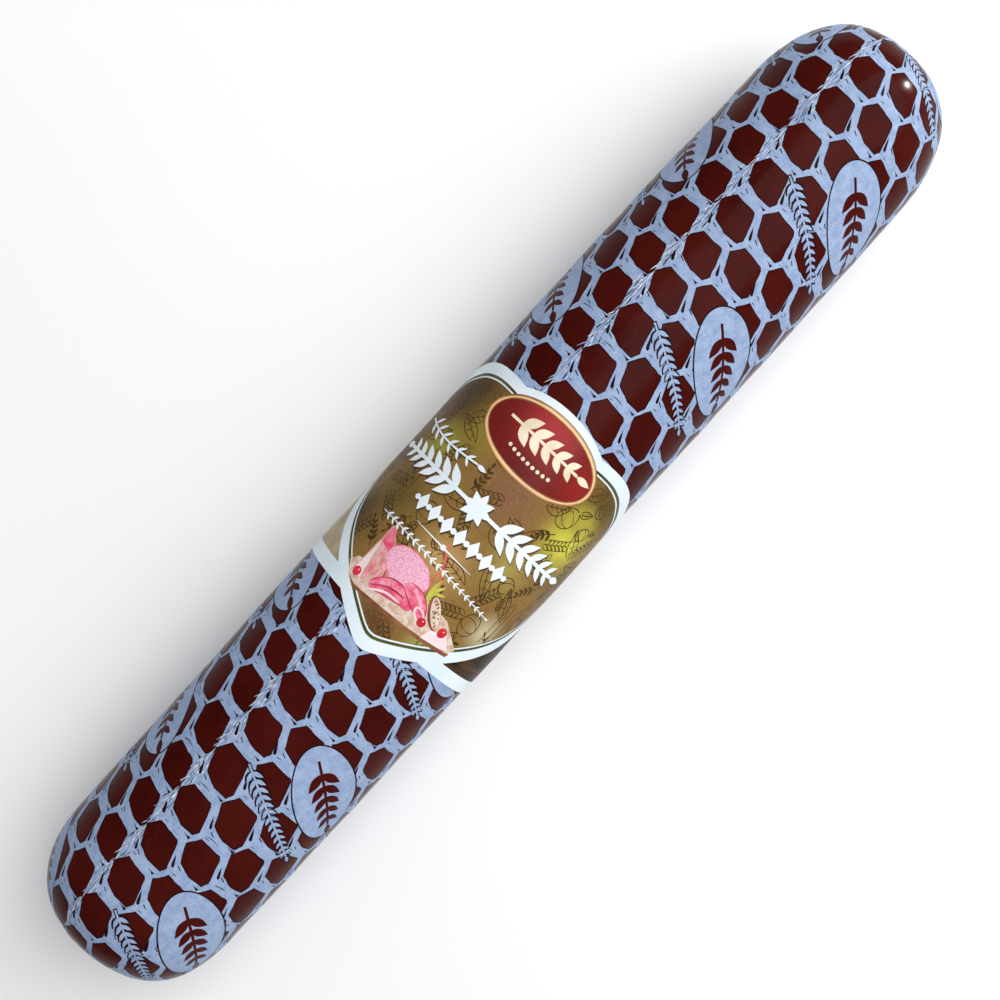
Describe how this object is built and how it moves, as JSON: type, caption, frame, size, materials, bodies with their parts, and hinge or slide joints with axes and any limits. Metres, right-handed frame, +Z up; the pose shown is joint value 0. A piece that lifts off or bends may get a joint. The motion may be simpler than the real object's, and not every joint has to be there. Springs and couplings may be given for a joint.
{
  "type": "cured sausage",
  "caption": "Whole cured sausage in a glossy net-printed casing with a wrap-around label, gathered and clipped at both ends, lying on its flattened underside.",
  "frame": {"origin": "middle of the underside, on the surface that the sausage lies on", "axes": "+X along the sausage, towards the head of its label; +Z up, the side the label faces"},
  "size_m": [0.3892, 0.0652, 0.0645],
  "materials": {
    "casing": "glossy printed casing film drawn tight over the filling",
    "label": "satin coated label stock",
    "clip": "drawn wire, crimped"
  },
  "bodies": {
    "root": {"sausage": "casing", "wrap_label": "label", "clip_right": "clip", "clip_left": "clip"}
  },
  "joints": []
}
